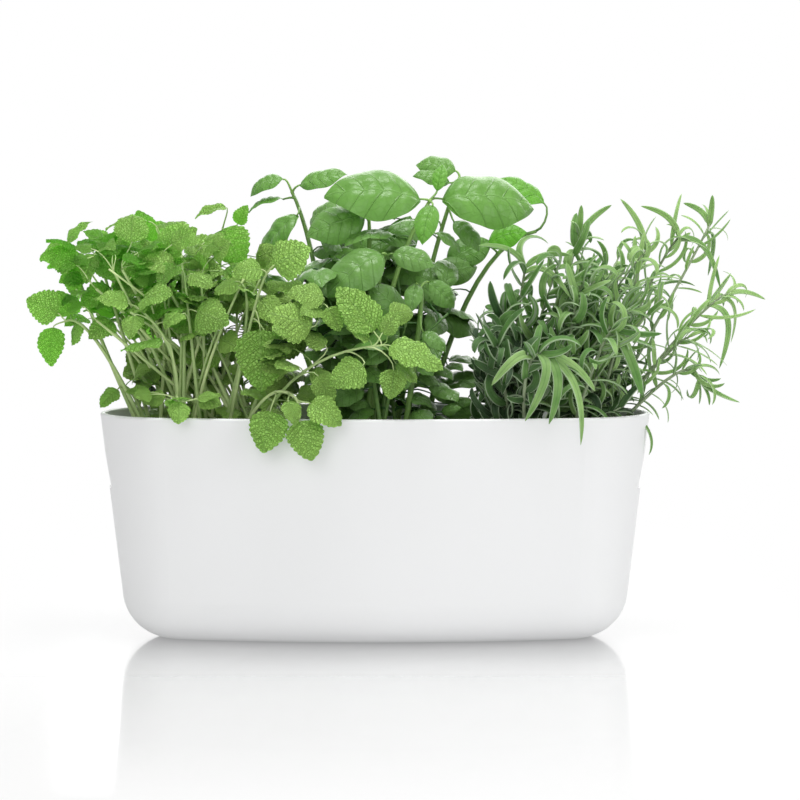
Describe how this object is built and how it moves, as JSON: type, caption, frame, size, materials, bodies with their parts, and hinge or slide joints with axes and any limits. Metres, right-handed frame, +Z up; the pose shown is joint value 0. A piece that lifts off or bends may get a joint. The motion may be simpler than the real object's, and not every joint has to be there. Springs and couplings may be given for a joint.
{
  "type": "indoor herb planter",
  "caption": "Oval self-watering windowsill trough with end finger grips, a lift-out water insert and potted lemon balm, basil and rosemary.",
  "frame": {"origin": "centre of the trough's flat foot, on the surface it stands on", "axes": "+X along the row from lemon balm to rosemary, +Y to the back, +Z up"},
  "size_m": [0.4934, 0.1791, 0.3252],
  "materials": {
    "white_plastic": "satin",
    "insert_plastic": "matte",
    "felt": "matte",
    "grow_pot_plastic": "matte",
    "soil": "matte",
    "balm_stem": "satin",
    "balm_leaf": "satin",
    "basil_stem": "satin",
    "basil_leaf": "satin",
    "rosemary_stem": "matte",
    "rosemary_needle": "satin"
  },
  "bodies": {
    "trough": {"outer_pot": "white_plastic"},
    "insert": {"water_insert": "insert_plastic", "balm_wick": "felt", "basil_wick": "felt", "rosemary_wick": "felt"},
    "lemon_balm": {"balm_grow_pot": "grow_pot_plastic", "balm_soil": "soil", "balm_stems": "balm_stem", "balm_leaves": "balm_leaf", "balm_trailing_stems": "balm_stem", "balm_trailing_leaves": "balm_leaf"},
    "basil": {"basil_grow_pot": "grow_pot_plastic", "basil_soil": "soil", "basil_stems": "basil_stem", "basil_leaves": "basil_leaf"},
    "rosemary": {"rosemary_grow_pot": "grow_pot_plastic", "rosemary_soil": "soil", "rosemary_stems": "rosemary_stem", "rosemary_needles": "rosemary_needle"}
  },
  "joints": [
    {"name": "insert_lift", "type": "slide", "parent": "trough", "child": "insert", "axis": [0, 0, 1], "range_m": [0, 0.16]},
    {"name": "balm_lift", "type": "slide", "parent": "insert", "child": "lemon_balm", "axis": [0, 0, 1], "range_m": [0, 0.125]},
    {"name": "basil_lift", "type": "slide", "parent": "insert", "child": "basil", "axis": [0, 0, 1], "range_m": [0, 0.125]},
    {"name": "rosemary_lift", "type": "slide", "parent": "insert", "child": "rosemary", "axis": [0, 0, 1], "range_m": [0, 0.125]}
  ]
}
